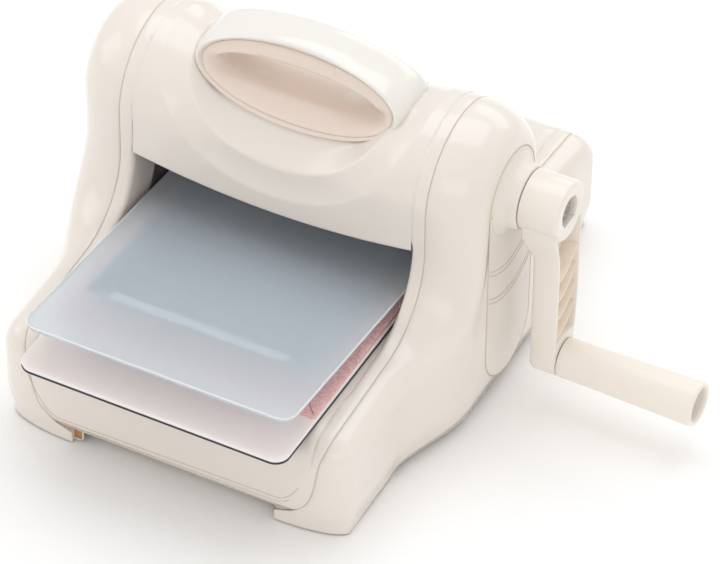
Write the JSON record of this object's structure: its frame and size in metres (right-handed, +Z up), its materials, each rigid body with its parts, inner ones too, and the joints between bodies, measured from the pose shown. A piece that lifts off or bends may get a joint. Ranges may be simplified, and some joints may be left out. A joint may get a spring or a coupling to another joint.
{
  "type": "die cutting machine",
  "caption": "Hand-cranked tabletop press that draws a sandwich of plates, mat, folder and paper between steel rollers to cut or emboss it.",
  "frame": {"origin": "straight below the crank axis and the rollers, on the surface that the machine stands on, at the underside of the middle pad", "axes": "+X to the crank side, -Y to the front where the plates come out, +Z up"},
  "size_m": [0.35, 0.3165, 0.1955],
  "materials": {
    "cover_plastic": "satin ivory moulding",
    "panel_plastic": "satin ivory inset panel",
    "handle_plastic": "glossy ivory moulding",
    "insert_plastic": "satin blush ivory lining",
    "floor_plastic": "matt pressed underside",
    "frame_steel": "zinc plated plate",
    "bush_bronze": "sintered bronze",
    "pad_rubber": "soft grey rubber",
    "roller_steel": "ground steel",
    "fastener_steel": "bright plated",
    "gear_nylon": "natural nylon",
    "crank_plastic": "satin ivory moulding, warm inside its ribs",
    "grip_plastic": "satin warm ivory",
    "dark_sheet": "dark blue-grey sheet",
    "base_acrylic": "pale mauve-grey acrylic",
    "mat_rubber": "pink speckled mat",
    "folder_plastic": "clear blue-grey film",
    "frosted_plate": "frosted polycarbonate"
  },
  "bodies": {
    "machine": {"left_side_cover": "cover_plastic", "right_side_cover": "cover_plastic", "centre_housing": "cover_plastic", "base_tray": "cover_plastic", "base_floor": "floor_plastic", "carry_handle": "handle_plastic", "handle_insert": "insert_plastic", "handle_badge": "insert_plastic", "left_side_panel": "panel_plastic", "right_side_panel": "panel_plastic", "left_frame_plate": "frame_steel", "right_frame_plate": "frame_steel", "tie_rods": "frame_steel", "tie_rod_nuts": "frame_steel", "upper_roller_bushes": "bush_bronze", "lower_roller_bushes": "bush_bronze", "crank_bushes": "bush_bronze", "crank_collar": "cover_plastic", "corner_pads": "pad_rubber", "centre_pad": "pad_rubber", "floor_screws": "fastener_steel"},
    "upper_roller_set": {"upper_roller": "roller_steel", "upper_shaft": "roller_steel", "upper_link_gear": "gear_nylon", "driven_gear": "gear_nylon", "upper_shaft_clips": "fastener_steel"},
    "lower_roller_set": {"lower_roller": "roller_steel", "lower_shaft": "roller_steel", "lower_link_gear": "gear_nylon", "lower_shaft_clips": "fastener_steel"},
    "crank": {"crank_arm": "crank_plastic", "crank_shaft": "roller_steel", "crank_pinion": "gear_nylon", "crank_washer": "fastener_steel", "crank_screw": "fastener_steel", "grip_spindle": "roller_steel"},
    "grip": {"crank_grip": "grip_plastic"},
    "sandwich": {"base_sheet": "dark_sheet", "base_plate": "base_acrylic", "embossing_mat": "mat_rubber", "folder_lower_leaf": "folder_plastic"},
    "folder_top": {"folder_upper_leaf": "folder_plastic", "cutting_plate": "frosted_plate"}
  },
  "joints": [
    {"name": "crank_turn", "type": "hinge", "parent": "machine", "child": "crank", "pos_m": [0, 0, 0.1335], "axis": [1, 0, 0], "continuous": true},
    {"name": "upper_roller_turn", "type": "hinge", "parent": "machine", "child": "upper_roller_set", "pos_m": [0, 0, 0.0925], "axis": [1, 0, 0], "continuous": true},
    {"name": "lower_roller_turn", "type": "hinge", "parent": "machine", "child": "lower_roller_set", "pos_m": [0, 0, 0.0485], "axis": [1, 0, 0], "continuous": true},
    {"name": "grip_turn", "type": "hinge", "parent": "crank", "child": "grip", "pos_m": [0, 0, 0.033], "axis": [1, 0, 0], "continuous": true},
    {"name": "sandwich_slide", "type": "slide", "parent": "machine", "child": "sandwich", "axis": [0, -1, 0], "range_m": [0, 0.12]},
    {"name": "folder_close", "type": "hinge", "parent": "sandwich", "child": "folder_top", "pos_m": [0, 0.026, 0.07015], "axis": [1, 0, 0], "range_deg": [0, 4.6], "stiffness_Nm_per_rad": 0.5, "springref_deg": -17.19}
  ],
  "couplings": [
    {"joint": "upper_roller_turn", "follows": "crank_turn", "ratio": -0.34884},
    {"joint": "lower_roller_turn", "follows": "crank_turn", "ratio": 0.34884}
  ]
}
